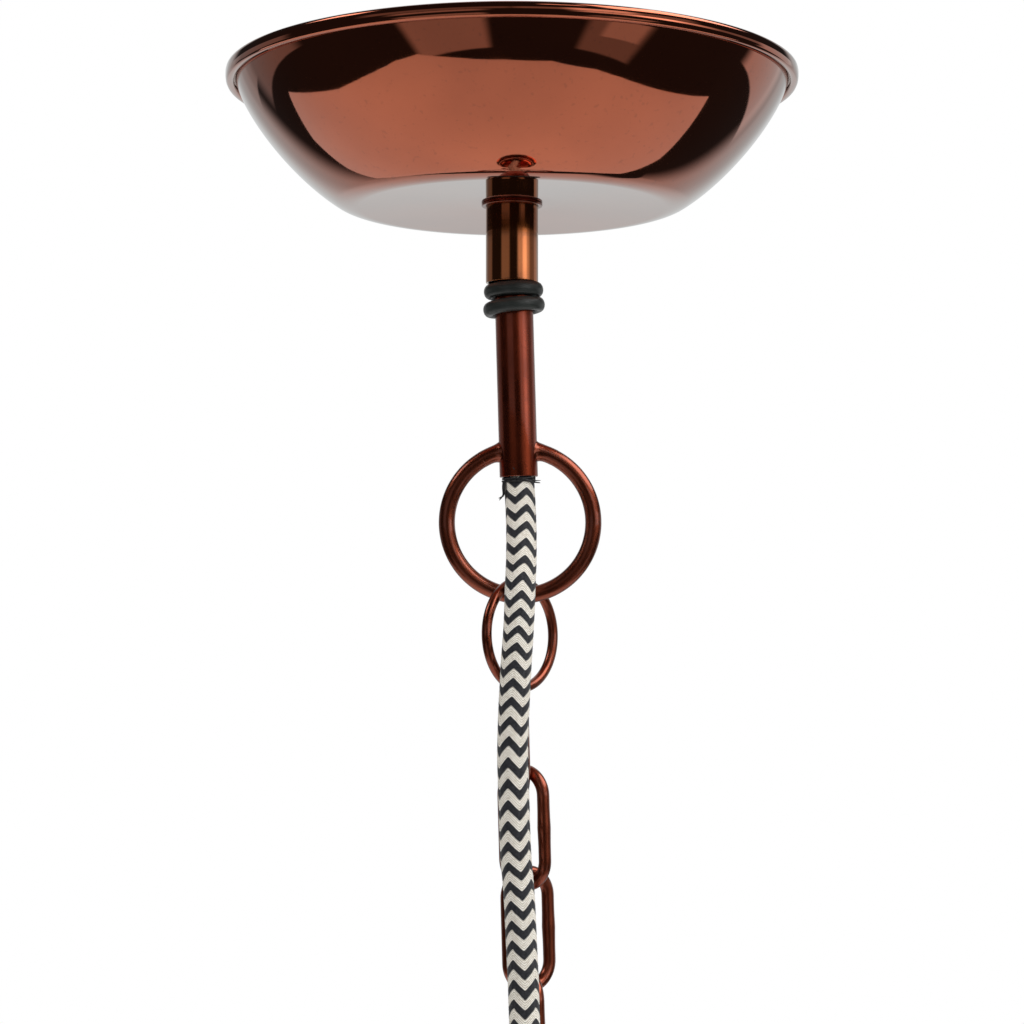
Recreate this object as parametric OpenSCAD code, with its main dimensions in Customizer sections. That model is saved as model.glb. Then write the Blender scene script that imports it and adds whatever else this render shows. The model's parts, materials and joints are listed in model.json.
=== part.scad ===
// Chain-hung pendant suspension: a ceiling canopy held up by rubber rings on a slim stem,
// a big welded ring, a chain, a braided flex beside the chain and a screw lampholder.
// Millimetres. The ceiling is the plane z = 0 and everything hangs below it.

/* [Canopy] */
// Outside diameter over the lip
canopy_d = 120; // [116:1:128]
// Depth from the ceiling to the flat bottom
canopy_depth = 28.4; // [27:0.1:30]
// Thickness of the spun sheet
canopy_wall = 1; // [0.8:0.1:1.2]
// Height of the lip against the ceiling
lip_h = 3; // [2.5:0.1:3.5]
// Width of the step under the lip
lip_step = 2; // [1.5:0.1:2.5]
// Diameter of the flat bottom
flat_d = 69.6; // [60:0.2:72]
// How far the underside is dished up in its middle
flat_rise = 1.2; // [0:0.1:2]
// Fullness of the bowl's side, 1 for a quarter ellipse and 2 for a straight cone
bowl_fullness = 1.51; // [1.2:0.01:1.8]
// Share of the curve's quarter turn at which the side meets the flat in a corner
bowl_end_angle = 80; // [76:1:88]

/* [Sleeve] */
// Outside diameter of the sleeve under the canopy
sleeve_d = 11; // [10.8:0.1:12]
// Bore of the sleeve
sleeve_bore = 10; // [9.9:0.1:10.2]
// Length of the sleeve below the canopy
sleeve_len = 16.8; // [15:0.1:19]
// Diameter of the thin washer between sleeve and canopy
washer_d = 12.8; // [12.6:0.1:16]

/* [Stem] */
// Outside diameter of the stem tube
stem_d = 8; // [7.8:0.1:8.2]
// Bore of the stem tube
stem_bore = 6.8; // [6.6:0.1:6.9]
// Lower end of the stem tube below the ceiling
stem_end = 84.8; // [82:0.1:86]
// Angle at which the stem and all below it hang off plumb
hang_lean = 1.6; // [0:0.1:1.8]
// How far the hook and the hanging line are off the canopy's middle
hang_offset = -0.6; // [-0.8:0.1:0.4]

/* [Rings and chain] */
// Radius of the big ring to the middle of its wire
big_ring_r = 15.3; // [15:0.1:16]
// Wire diameter of the big ring
big_wire = 3.4; // [3.2:0.1:3.6]
// Radius of the small ring to the middle of its wire
small_ring_r = 11; // [10.5:0.1:11.5]
// Wire diameter of the small ring
small_wire = 2.1; // [2:0.1:2.2]
// Turn of the small ring about the hanging line
small_ring_turn = 51; // [48:1:60]
// Outside length of a chain link
link_len = 26.3; // [25:0.1:27]
// Outside width of a chain link
link_w = 13; // [12.6:0.1:13.4]
// Wire diameter of the chain
link_wire = 2.6; // [2.4:0.1:2.7]

/* [Flex] */
// Diameter of the braided flex
flex_d = 6.4; // [6:0.1:6.5]
// Diameter of one insulated core
core_d = 2.2; // [2:0.1:2.4]

/* [Lampholder] */
// Outside diameter of the lampholder
holder_d = 38; // [36:1:42]
// Length of the lampholder's body below its cap
holder_len = 44; // [42:1:50]
// Inside diameter of the screw shell
shell_bore = 26.6; // [26.4:0.1:26.8]

/* [Hidden] */
$fn = 64;

// Ceiling plate and hook
plate_len = 88;
plate_w = 20;
plate_t = 2;
slot_spacing = 64;
slot_w = 4.5;
slot_len = 9;
hook_wire = 3.5;
hook_r = 4.25;
hook_drop = 6;
hook_tip = 1.5;
pivot_z = -plate_t - hook_drop - hook_r;

// Stirrup on top of the stem
bail_wire = 2.5;
bail_r = 5.2;
bail_play = 0.1;
bail_top = pivot_z + hook_wire / 2 + bail_wire / 2 + bail_play;
collar_top = -19;
collar_h = 4;
collar_d = 13;
stem_top = -20;

// Terminal block and its screws, on the ceiling plate
block_x = 27;
block_size = [28, 16, 12];
pole_pitch = 9;
pole_d = 5;
pole_z = -plate_t - block_size[2] / 2 - 1.6;
boss_d = 7.6;
boss_h = 1.5;
well_d = 4;
well_depth = 8;
core_hole_d = 2.8;
clamp_d = 3;
driver_slot = 0.8;
clamp_len = 5;
clamp_head_d = 3.8;
clamp_head_h = 1.2;
clamp_drop = 6.4;
earth_x = -22;
earth_d = 3;
earth_head_d = 6;
earth_head_h = 2.4;

// Canopy outline
canopy_r = canopy_d / 2;
bowl_r = canopy_r - lip_step;
flat_r = flat_d / 2;
flat_mid_z = -canopy_depth + flat_rise;
flat_mid_r = 11;
bowl_steps = 28;
lip_corner = 0.5;
lip_under = 0.4;
bowl_start_z = -lip_h + 1.2;
bowl_start_inside_z = -lip_h + 1.4;
washer_t = 0.6;
nut_t = 2.5;
nut_af = 17;

// Rubber rings
o_ring_w = 2.25;
o_ring_h = 2.7;
o_ring_tilt = 5;
upper_o_ring_z = flat_mid_z - sleeve_len - o_ring_h / 2 - 0.3;
lower_o_ring_z = upper_o_ring_z - o_ring_h - 0.75;
lower_o_ring_slack = 0.5;

// Hanging line: heights of the middles of the wires
big_ring_z = -94.3;
wire_play = 0.12;
first_link_play = 0.8;
second_link_play = 0.88;
link_play = 0.16;
eye_play = 0.2;
chain_x = -0.6;
bead_r = 2.5;
bead_out = 0.5;
bead_drop = 0.6;
whipping_d = 7.8;
whipping_h = 2.2;
whipping_gap = 0.1;
whipping_play = 0.4;
big_low = big_ring_z - big_ring_r;
small_top = big_low + (big_wire + small_wire) / 2 + wire_play;
small_ring_z = small_top - small_ring_r;
small_low = small_ring_z - small_ring_r;
link_half = (link_len - link_wire) / 2;
link_end_r = (link_w - link_wire) / 2;
first_link_z = small_low + (small_wire + link_wire) / 2 + first_link_play - link_half;
link_pitch = 2 * link_half - link_wire;
link_z = [
    for (i = [0 : 3])
        first_link_z - i * link_pitch + (i > 0 ? second_link_play + (i - 1) * link_play : 0)
];
link_x = [-1, -0.95, -0.7, -1.2];
link_turns = [94, -38, 35, -66];
eye_r = 5;
eye_turn = 24;
last_low = link_z[3] - link_half;
eye_z = last_low + link_wire + eye_play - eye_r;

// Lampholder, from its cap down
cap_top = eye_z - eye_r - 3.5;
cap_h = 14;
cap_wall = 1.2;
cap_corner = 6;
eye_shank_d = 4;
eye_shank_len = 6;
eye_collar_d = 8;
eye_collar_h = 1.4;
eye_nut_h = 3;
grip_x = -1;
grip_y = -9.6;
grip_d = 11;
grip_plug_d = 8;
grip_cone_d = 9;
grip_tip_d = 7.8;
grip_plug_len = 3.2;
grip_flange_h = 1.6;
grip_cone_h = 4;
grip_play = 0.3;
body_top = cap_top - cap_h;
body_end = body_top - holder_len;
insert_t = 12;
shell_len = 26;
shell_wall = 0.5;
skirt_len = 22;
skirt_d = holder_d - 4;
shoulder_t = 1.5;
screw_x = 8;
screw_y = -2;
contact_y = 6;
contact_t = 0.6;
contact_w = 6;
contact_d = 5;
contact_inset = 0.2;
rivet_len = 3;
rivet_play = 0.1;
insert_play = 0.2;
holder_screw_play = 0.2;
holder_screw_head_d = 5;
holder_screw_head_h = 1.6;
pocket_h = 1.6;
pocket_play = 0.4;
ring_nut_d = 52;
ring_nut_body_d = 44;
ring_nut_t = 7;
ring_nut_bore = holder_d - 3.6;
ring_nut_gap = 6;
ring_flange_t = 1.4;
rib_d = 2.4;
ribs = 24;

// Route of the flex in the hanging line's own frame, from the top of the stem to the grip
FLEX_STEM = [
    [0, 0, -21], [0, 0, -36], [0, 0, -52], [0, 0, -68], [0, 0, -80], [0, 0, -84],
    [0.1, -0.3, -88], [0.2, -1.1, -92], [0.2, -2.3, -96]
];
FLEX_RING = [
    [0.2, -2.3, -96], [0.1, -3.7, -100], [-0.1, -5.2, -104], [-0.4, -6.7, -108],
    [-0.7, -7.9, -113], [-1.1, -8.7, -118]
];
FLEX_LINK_1 = [
    [-1.1, -8.7, -118], [-1.6, -9.2, -123], [-2, -9.5, -128], [-2.4, -9.7, -133], [-2.7, -9.8, -138]
];
FLEX_LINK_2 = [
    [-2.7, -9.8, -138], [-2.9, -9.8, -143], [-2.9, -9.7, -148], [-2.9, -9.6, -153], [-2.9, -9.5, -158]
];
FLEX_LINK_3 = [
    [-2.9, -9.5, -158], [-2.8, -9.3, -163], [-2.5, -9.2, -168], [-2.3, -9.2, -173], [-2.2, -9.2, -179]
];
FLEX_LINK_4 = [
    [-2.2, -9.2, -179], [-2.1, -9.2, -184], [-2, -9.2, -189], [-2, -9.2, -194], [-1.9, -9.3, -200]
];
FLEX_HOLDER = [
    [-1.9, -9.3, -200], [-1.5, -9.45, -206], [-1.1, -9.58, -211.5],
    [-1, -9.6, -215], [-1, -9.6, -223], [-1, -9.6, -231.3]
];

// Routes of the cores, from the top of the stem to the terminal block and to the earth screw
CORE_BROWN = [
    [0.9, -1.2, -20.5], [1.2, -1.7, -18.5], [2.2, -4.2, -16.4], [5, -7.4, -15.6],
    [9, -9.8, -14.6], [13, -11.4, -12.6], [16, -11.6, -10.4], [18, -9.8, -9.6], [18, -7.6, -9.6]
];
CORE_BLUE = [
    [0.9, 1.2, -20.5], [1.2, 1.7, -18.5], [2.4, 4.2, -16.4], [6, 7.6, -15.8], [12, 10.6, -15],
    [20, 13, -13.4], [27, 13.4, -11.4], [31, 12.6, -10], [34.5, 11, -9.6], [36, 9.4, -9.6], [36, 7.6, -9.6]
];
CORE_EARTH = [
    [-1.9, 0, -20.5], [-2, 1, -18.5], [-2.6, 4, -16.4], [-6, 7, -15],
    [-11, 9, -12], [-16, 9.4, -8.6], [-20, 7.6, -5], [-21.6, 5.4, -3.5], [-22, 3.1, -3.2]
];
HOLDER_CORES = [
    [
        [-2.2, -9.6, -231.5], [-2.4, -9.6, -232.7], [-4, -9.3, -234.3],
        [-6.4, -8.2, -234.75], [-7.8, -6.4, -234.75], [-8, -4.6, -234.75]
    ],
    [
        [0.1, -9.6, -231.5], [0.5, -9.6, -232.7], [2.4, -9.4, -234.3],
        [5, -8.6, -234.75], [7.2, -6.8, -234.75], [8, -4.6, -234.75]
    ]
];

// ---- helpers ----

// A point of the bowl's side at angle a, from the step under the lip (0) to the corner of the flat
function bowl_point(a, r_top, r_flat, z_top, z_flat) =
    let (
        end_cos = pow(cos(bowl_end_angle), bowl_fullness),
        out = (pow(cos(a), bowl_fullness) - end_cos) / (1 - end_cos),
        down = pow(sin(a) / sin(bowl_end_angle), bowl_fullness)
    ) [r_flat + (r_top - r_flat) * out, z_top - (z_top - z_flat) * down];

function bowl_side(r_top, r_flat, z_top, z_flat) = [
    for (i = [0 : bowl_steps])
        bowl_point(bowl_end_angle * i / bowl_steps, r_top, r_flat, z_top, z_flat)
];

// Direction of a route at point i
function route_dir(p, i) =
    let (a = p[max(i - 1, 0)], b = p[min(i + 1, len(p) - 1)]) (b - a) / norm(b - a);

// One ring of points of a swept tube, square to a direction that is never along x
function tube_ring(p, dir, r, sides) =
    let (v = cross(dir, [1, 0, 0]) / norm(cross(dir, [1, 0, 0])), u = cross(v, dir))
    [for (k = [0 : sides - 1]) p + r * (cos(360 * k / sides) * u + sin(360 * k / sides) * v)];

// A tube swept along a route; the flex's own stretches end in level faces so that they meet flush
module route_tube(p, r, sides, level_ends = false) {
    last = len(p) - 1;
    rings = [
        for (i = [0 : last])
            tube_ring(p[i], level_ends && (i == 0 || i == last) ? [0, 0, -1] : route_dir(p, i), r, sides)
    ];
    points = [for (ring = rings) for (q = ring) q];
    sides_faces = [
        for (i = [0 : last - 1]) for (k = [0 : sides - 1]) let (
            here = i * sides,
            next = here + sides,
            beside = (k + 1) % sides
        ) [here + k, here + beside, next + beside, next + k]
    ];
    caps = [[for (k = [sides - 1 : -1 : 0]) k], [for (k = [0 : sides - 1]) last * sides + k]];
    polyhedron(points, concat(sides_faces, caps), convexity = 4);
}

// Everything below the hook hangs on one line that leans about the hook
module hanging() {
    translate([hang_offset, 0, pivot_z]) rotate([0, -hang_lean, 0]) translate([0, 0, -pivot_z]) children();
}

module wire_ring(r, wire) {
    rotate([90, 0, 0]) rotate_extrude() translate([r, 0]) circle(d = wire, $fn = 32);
}

module half_ring(r, wire) {
    rotate([90, 0, 0]) rotate_extrude(angle = 180) translate([r, 0]) circle(d = wire, $fn = 32);
}

module chain_link() {
    straight = link_half - link_end_r;
    for (s = [-1, 1]) {
        translate([s * link_end_r, 0, -straight]) cylinder(h = 2 * straight, d = link_wire, $fn = 32);
        rotate([0, s > 0 ? 0 : 180, 0]) translate([0, 0, straight]) half_ring(link_end_r, link_wire);
    }
}

module placed_link(i) {
    hanging() translate([link_x[i], 0, link_z[i]]) rotate([0, 0, link_turns[i]]) chain_link();
}

module tube_ring_solid(d_out, d_in, h) {
    difference() {
        cylinder(h = h, d = d_out);
        translate([0, 0, -1]) cylinder(h = h + 2, d = d_in);
    }
}

// Round screw head with a slot, its face down
module screw_head(d, h) {
    difference() {
        cylinder(h = h, d = d);
        translate([-d, -driver_slot / 2, -1]) cube([2 * d, driver_slot, 1 + h / 2]);
    }
}

// ---- ceiling hardware ----

module ceiling_plate() {
    color("silver") difference() {
        translate([-plate_len / 2, -plate_w / 2, -plate_t]) cube([plate_len, plate_w, plate_t]);
        for (s = [-1, 1]) translate([s * slot_spacing / 2, 0, -plate_t - 1]) {
            half = (slot_len - slot_w) / 2;
            translate([-half, -slot_w / 2, 0]) cube([2 * half, slot_w, plate_t + 2]);
            for (e = [-1, 1]) translate([e * half, 0, 0]) cylinder(h = plate_t + 2, d = slot_w);
        }
        translate([hang_offset, -hook_r, -plate_t - 1]) cylinder(h = plate_t + 2, d = hook_wire);
        translate([earth_x, 0, -plate_t - 1]) cylinder(h = plate_t + 2, d = earth_d);
    }
}

// J-hook: its shank is peened flush in the plate, and its crook opens to the back
module ceiling_hook() {
    color("silver") translate([hang_offset, 0, -plate_t - hook_drop]) {
        translate([0, -hook_r, 0]) cylinder(h = hook_drop + plate_t, d = hook_wire);
        rotate([0, 180, 90]) half_ring(hook_r, hook_wire);
        translate([0, hook_r, 0]) cylinder(h = hook_tip, d = hook_wire);
    }
}

module at_poles() {
    for (i = [-1 : 1]) translate([block_x + i * pole_pitch, 0, pole_z]) children();
}

module terminal_body() {
    color("ivory") difference() {
        union() {
            translate([block_x - block_size[0] / 2, -block_size[1] / 2, -plate_t - block_size[2]])
                cube(block_size);
            for (i = [-1 : 1])
                translate([block_x + i * pole_pitch, 0, -plate_t - block_size[2] - boss_h])
                    cylinder(h = boss_h + 1, d = boss_d);
        }
        at_poles() rotate([90, 0, 0]) cylinder(h = block_size[1] + 2, d = pole_d, center = true);
        at_poles() translate([0, 0, -well_depth]) cylinder(h = well_depth, d = well_d);
    }
}

module terminal_inserts() {
    color("goldenrod") at_poles() difference() {
        rotate([90, 0, 0]) cylinder(h = block_size[1] - 1, d = pole_d, center = true);
        rotate([90, 0, 0]) cylinder(h = block_size[1] + 2, d = core_hole_d, center = true);
        translate([0, 0, -well_depth]) cylinder(h = well_depth, d = clamp_d);
    }
}

module terminal_screws() {
    color("silver") at_poles() translate([0, 0, -clamp_drop]) {
        cylinder(h = clamp_len, d = clamp_d);
        screw_head(clamp_head_d, clamp_head_h);
    }
}

module earth_screw() {
    color("goldenrod") translate([earth_x, 0, 0]) {
        translate([0, 0, -plate_t]) cylinder(h = plate_t, d = earth_d);
        translate([0, 0, -plate_t - earth_head_h]) screw_head(earth_head_d, earth_head_h);
    }
}

module core_brown() {
    color("saddlebrown") route_tube(CORE_BROWN, core_d / 2, 8);
}

module core_blue() {
    color("royalblue") route_tube(CORE_BLUE, core_d / 2, 8);
}

module core_earth() {
    color("yellowgreen") route_tube(CORE_EARTH, core_d / 2, 8);
}

// ---- stem and big ring ----

module stem_tube() {
    color("saddlebrown") hanging() translate([0, 0, -stem_end])
        tube_ring_solid(stem_d, stem_bore, stem_end + stem_top);
}

// Threaded collar with a wire bail that hangs on the hook
module stem_stirrup() {
    color("silver") hanging() {
        translate([0, 0, collar_top - collar_h]) difference() {
            cylinder(h = collar_h, d = collar_d);
            translate([0, 0, -1]) cylinder(h = collar_h + 2, d = stem_d);
        }
        translate([0, 0, bail_top - bail_r]) half_ring(bail_r, bail_wire);
        for (s = [-1, 1]) translate([s * bail_r, 0, collar_top])
            cylinder(h = bail_top - bail_r - collar_top, d = bail_wire);
    }
}

module big_ring() {
    color("saddlebrown") hanging() difference() {
        translate([0, 0, big_ring_z]) wire_ring(big_ring_r, big_wire);
        translate([0, 0, big_ring_z]) cylinder(h = big_ring_r + big_wire, d = stem_d);
    }
}

// Weld beads in the corners between the tube and the ring's two ends
module ring_welds() {
    color("saddlebrown") hanging() difference() {
        for (s = [-1, 1])
            translate([s * (stem_d / 2 + bead_out), 0, big_ring_z + big_ring_r - bead_drop]) sphere(r = bead_r);
        translate([0, 0, big_ring_z]) wire_ring(big_ring_r, big_wire);
        translate([0, 0, big_ring_z]) cylinder(h = big_ring_r + 2 * bead_r, d = stem_d);
    }
}

module flex_whipping() {
    color("black") hanging() translate([0, 0, -stem_end - whipping_gap - whipping_h])
        tube_ring_solid(whipping_d, flex_d + whipping_play, whipping_h);
}

module flex_tube(route) {
    color("dimgray") hanging() route_tube(route, flex_d / 2, 12, true);
}

// ---- canopy ----

// Spun dish: an outward lip against the ceiling, a bowl with a full side and a bottom that is dished up a little
module canopy_dish() {
    w = canopy_wall;
    outer = concat(
        [
            [canopy_r, 0], [canopy_r, -lip_h + lip_corner], [canopy_r - lip_corner, -lip_h],
            [canopy_r - w, -lip_h + lip_under]
        ],
        bowl_side(bowl_r, flat_r, bowl_start_z, -canopy_depth)
    );
    inner = bowl_side(bowl_r - w, flat_r - w / 2, bowl_start_inside_z, -canopy_depth + w);
    inner_up = [for (i = [bowl_steps : -1 : 0]) inner[i]];
    color("saddlebrown") difference() {
        rotate_extrude($fn = 128) polygon(concat(
            outer,
            [[flat_mid_r, flat_mid_z], [0, flat_mid_z], [0, flat_mid_z + w], [flat_mid_r, flat_mid_z + w]],
            inner_up,
            [[bowl_r - w, 0]]
        ));
        translate([0, 0, flat_mid_z - 1]) cylinder(h = w + 2, d = sleeve_d);
    }
}

module canopy_sleeve() {
    color("peru") translate([0, 0, flat_mid_z - sleeve_len])
        tube_ring_solid(sleeve_d, sleeve_bore, sleeve_len + canopy_wall + nut_t);
}

module sleeve_washer() {
    color("saddlebrown") translate([0, 0, flat_mid_z - washer_t])
        tube_ring_solid(washer_d, sleeve_d, washer_t);
}

module sleeve_nut() {
    color("silver") translate([0, 0, flat_mid_z + canopy_wall]) difference() {
        cylinder(h = nut_t, d = nut_af / cos(30), $fn = 6);
        translate([0, 0, -1]) cylinder(h = nut_t + 2, d = sleeve_d);
    }
}

// ---- rubber rings ----

module o_ring(bore) {
    rotate_extrude() translate([bore / 2 + o_ring_w / 2, 0]) {
        for (s = [-1, 1]) translate([0, s * (o_ring_h - o_ring_w) / 2]) circle(d = o_ring_w, $fn = 32);
        square([o_ring_w, o_ring_h - o_ring_w], center = true);
    }
}

module upper_o_ring() {
    color("#1c1f1d") hanging() translate([0, 0, upper_o_ring_z]) o_ring(stem_d);
}

// The lower ring has rolled a little and sits askew
module lower_o_ring() {
    color("#1c1f1d") hanging() translate([0, 0, lower_o_ring_z])
        rotate([0, -o_ring_tilt, 0]) o_ring(stem_d + lower_o_ring_slack);
}

// ---- small ring and chain ----

module small_ring() {
    color("saddlebrown") hanging() translate([chain_x, 0, small_ring_z])
        rotate([0, 0, small_ring_turn]) wire_ring(small_ring_r, small_wire);
}

module link_1() {
    color("saddlebrown") placed_link(0);
}

module link_2() {
    color("saddlebrown") placed_link(1);
}

module link_3() {
    color("saddlebrown") placed_link(2);
}

module link_4() {
    color("saddlebrown") placed_link(3);
}

// ---- lampholder ----

module on_holder_axis() {
    hanging() translate([chain_x, 0, 0]) children();
}

module hanging_eye() {
    color("saddlebrown") on_holder_axis() {
        translate([0, 0, eye_z]) rotate([0, 0, eye_turn]) wire_ring(eye_r, link_wire);
        translate([0, 0, cap_top - eye_shank_len])
            cylinder(h = eye_z - eye_r - cap_top + eye_shank_len, d = eye_shank_d);
        translate([0, 0, cap_top]) cylinder(h = eye_collar_h, d = eye_collar_d);
    }
}

module eye_nut() {
    color("silver") on_holder_axis() translate([0, 0, cap_top - cap_wall - eye_nut_h]) difference() {
        cylinder(h = eye_nut_h, d = (eye_collar_d - 1) / cos(30), $fn = 6);
        translate([0, 0, -1]) cylinder(h = eye_nut_h + 2, d = eye_shank_d);
    }
}

// Domed cap with a hole for the eye and another for the cord grip
module holder_cap() {
    r = holder_d / 2;
    corner = cap_corner;
    color("saddlebrown") difference() {
        on_holder_axis() translate([0, 0, body_top]) rotate_extrude($fn = 96) difference() {
            union() {
                square([r, cap_h - corner]);
                square([r - corner, cap_h]);
                translate([r - corner, cap_h - corner]) circle(r = corner);
            }
            translate([-r, -1]) square([2 * r - corner, cap_h - cap_wall + 1]);
            translate([-r, -1]) square([2 * r - cap_wall, cap_h - corner + 1]);
            translate([r - corner, cap_h - corner]) circle(r = corner - cap_wall);
            translate([-2 * r, -1]) square([2 * r, cap_h + 2]);
        }
        on_holder_axis() translate([0, 0, cap_top - cap_wall - 1])
            cylinder(h = cap_wall + 2, d = eye_shank_d);
        hanging() translate([grip_x, grip_y, cap_top - cap_wall - 1])
            cylinder(h = cap_wall + 2, d = grip_plug_d);
    }
}

// Tapered strain relief with a flange on the cap
module cord_grip() {
    color("#1c1f1d") hanging() translate([grip_x, grip_y, 0]) difference() {
        union() {
            translate([0, 0, cap_top - grip_plug_len]) cylinder(h = grip_plug_len, d = grip_plug_d);
            translate([0, 0, cap_top]) cylinder(h = grip_flange_h, d = grip_d);
            translate([0, 0, cap_top + grip_flange_h])
                cylinder(h = grip_cone_h, d1 = grip_cone_d, d2 = grip_tip_d);
        }
        translate([0, 0, cap_top - grip_plug_len - 1])
            cylinder(h = grip_plug_len + grip_flange_h + grip_cone_h + 2, d = flex_d + grip_play);
    }
}

module holder_cores() {
    color("saddlebrown") hanging() for (route = HOLDER_CORES) route_tube(route, core_d / 2, 8);
}

module holder_body() {
    color("saddlebrown") on_holder_axis() translate([0, 0, body_end]) {
        translate([0, 0, skirt_len])
            tube_ring_solid(holder_d, holder_d - 2 * cap_wall, holder_len - skirt_len);
        tube_ring_solid(skirt_d, skirt_d - 2 * cap_wall, skirt_len + shoulder_t);
        translate([0, 0, skirt_len]) tube_ring_solid(holder_d - 1, skirt_d - 2, shoulder_t);
    }
}

module holder_insert() {
    color("ivory") on_holder_axis() translate([0, 0, body_top - insert_t]) difference() {
        cylinder(h = insert_t, d = holder_d - 2 * cap_wall - insert_play);
        for (s = [-1, 1])
            translate([s * screw_x - chain_x, screw_y, -1]) cylinder(h = insert_t + 2, d = well_d);
        translate([0, contact_y, -1]) cylinder(h = insert_t + 2, d = well_d);
        translate([-contact_w / 2 - pocket_play, -contact_w / 2 - pocket_play, -1])
            cube([contact_w + 2 * pocket_play, contact_y + contact_w + 2 * pocket_play, 1 + pocket_h]);
    }
}

module screw_shell() {
    color("goldenrod") on_holder_axis() translate([0, 0, body_top - insert_t - shell_len])
        tube_ring_solid(shell_bore + 2 * shell_wall, shell_bore, shell_len);
}

// Tongue and button in the pocket of the insert, on their rivet
module centre_contact() {
    color("goldenrod") on_holder_axis() translate([0, 0, body_top - insert_t]) {
        translate([0, contact_y, pocket_h - contact_t]) cylinder(h = rivet_len, d = well_d - rivet_play);
        translate([-contact_w / 2, -contact_w / 2, pocket_h - contact_t])
            cube([contact_w, contact_y + contact_w, contact_t]);
        translate([0, 0, contact_inset])
            cylinder(h = pocket_h - contact_t - contact_inset, d = contact_d);
    }
}

module holder_screws() {
    color("goldenrod") on_holder_axis() for (s = [-1, 1])
        translate([s * screw_x - chain_x, screw_y, body_top]) {
            translate([0, 0, 1 - insert_t]) cylinder(h = insert_t, d = well_d - holder_screw_play);
            screw_head(holder_screw_head_d, holder_screw_head_h);
        }
}

// Ribbed ring that clamps a shade or a lantern's collar under the lampholder's shoulder
module shade_ring() {
    color("saddlebrown") on_holder_axis() translate([0, 0, body_end + ring_nut_gap]) {
        tube_ring_solid(ring_nut_body_d, ring_nut_bore, ring_nut_t);
        for (i = [0 : ribs - 1]) rotate([0, 0, 360 * i / ribs])
            translate([ring_nut_body_d / 2, 0, 0]) cylinder(h = ring_nut_t, d = rib_d, $fn = 24);
        translate([0, 0, ring_nut_t]) tube_ring_solid(ring_nut_d, ring_nut_bore, ring_flange_t);
    }
}

ceiling_plate();
ceiling_hook();
terminal_body();
terminal_inserts();
terminal_screws();
earth_screw();
core_brown();
core_blue();
core_earth();
stem_tube();
stem_stirrup();
big_ring();
ring_welds();
flex_whipping();
flex_tube(FLEX_STEM);  // flex_in_stem
canopy_dish();
canopy_sleeve();
sleeve_washer();
sleeve_nut();
upper_o_ring();
lower_o_ring();
small_ring();
flex_tube(FLEX_RING);  // flex_by_ring
link_1();
flex_tube(FLEX_LINK_1);  // flex_by_link_1
link_2();
flex_tube(FLEX_LINK_2);  // flex_by_link_2
link_3();
flex_tube(FLEX_LINK_3);  // flex_by_link_3
link_4();
flex_tube(FLEX_LINK_4);  // flex_by_link_4
hanging_eye();
eye_nut();
holder_cap();
cord_grip();
flex_tube(FLEX_HOLDER);  // flex_to_holder
holder_cores();
holder_body();
holder_insert();
screw_shell();
centre_contact();
holder_screws();
shade_ring();
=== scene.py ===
"""Looks of a chain-hung pendant suspension: camera, studio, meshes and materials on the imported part."""
import json
import math

import bmesh
import bpy
from mathutils import Matrix, Vector, noise


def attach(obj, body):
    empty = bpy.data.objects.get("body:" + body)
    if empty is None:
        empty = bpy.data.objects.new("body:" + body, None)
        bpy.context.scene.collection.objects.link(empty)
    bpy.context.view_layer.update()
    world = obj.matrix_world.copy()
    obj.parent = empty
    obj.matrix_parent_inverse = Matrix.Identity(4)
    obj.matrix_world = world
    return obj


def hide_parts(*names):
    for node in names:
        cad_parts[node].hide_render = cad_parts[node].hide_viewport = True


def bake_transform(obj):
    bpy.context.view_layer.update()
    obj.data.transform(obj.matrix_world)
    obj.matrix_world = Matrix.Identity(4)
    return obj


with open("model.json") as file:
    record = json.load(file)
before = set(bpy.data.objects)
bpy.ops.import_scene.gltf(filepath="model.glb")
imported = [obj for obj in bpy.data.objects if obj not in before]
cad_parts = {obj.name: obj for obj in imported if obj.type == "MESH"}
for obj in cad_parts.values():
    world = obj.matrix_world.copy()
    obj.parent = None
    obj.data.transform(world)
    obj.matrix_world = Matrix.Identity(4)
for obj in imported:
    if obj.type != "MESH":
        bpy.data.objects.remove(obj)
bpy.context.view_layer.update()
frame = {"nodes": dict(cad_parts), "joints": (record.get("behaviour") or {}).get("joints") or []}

NODES = frame["nodes"]
JOINTS = {j["name"]: j for j in frame["joints"]}
MM = 0.001
TURN = 2 * math.pi

# ---- driving sizes, in millimetres, as in the part's source ----
CANOPY_R = 60
CANOPY_DEPTH = 28.4
CANOPY_WALL = 1
LIP_GROOVE_Z = -1.8
LIP_STEP = 2
FLAT_R = 34.8
FLAT_MID_Z = -27.2
FLAT_MID_R = 11
FLAT_CORNER = 2.8
NUT_T = 2.5
BOWL_FULLNESS = 1.51
BOWL_END = math.radians(80)
SLEEVE_R = 5.5
SLEEVE_BORE_R = 5
SLEEVE_LEN = 16.8
WASHER_R = 6.4
WASHER_T = 0.6
SLEEVE_PLAY = 0.02
STEM_R = 4
STEM_BORE_R = 3.4
STEM_TOP = -20
STEM_END = -84.8
BIG_RING_Z = -94.3
BIG_RING_R = 15.3
BIG_WIRE_R = 1.7
SMALL_RING_R = 11
SMALL_WIRE_R = 1.05
SMALL_RING_TURN = 51
LINK_HALF = 11.85
LINK_END_R = 5.2
LINK_WIRE_R = 1.3
LINK_X = [-1, -0.95, -0.7, -1.2]
LINK_TURNS = [94, -38, 35, -66]
EYE_R = 5
EYE_GAP = 0.2
EYE_TURN = 24
EYE_NECK = 3.5
FLEX_R = 3.2
CORE_R = 1.1
HOOK_R = 4.25
HOOK_WIRE_R = 1.75
HOOK_DROP = 6
HOOK_TIP = 1.5
PLATE_T = 2
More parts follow.
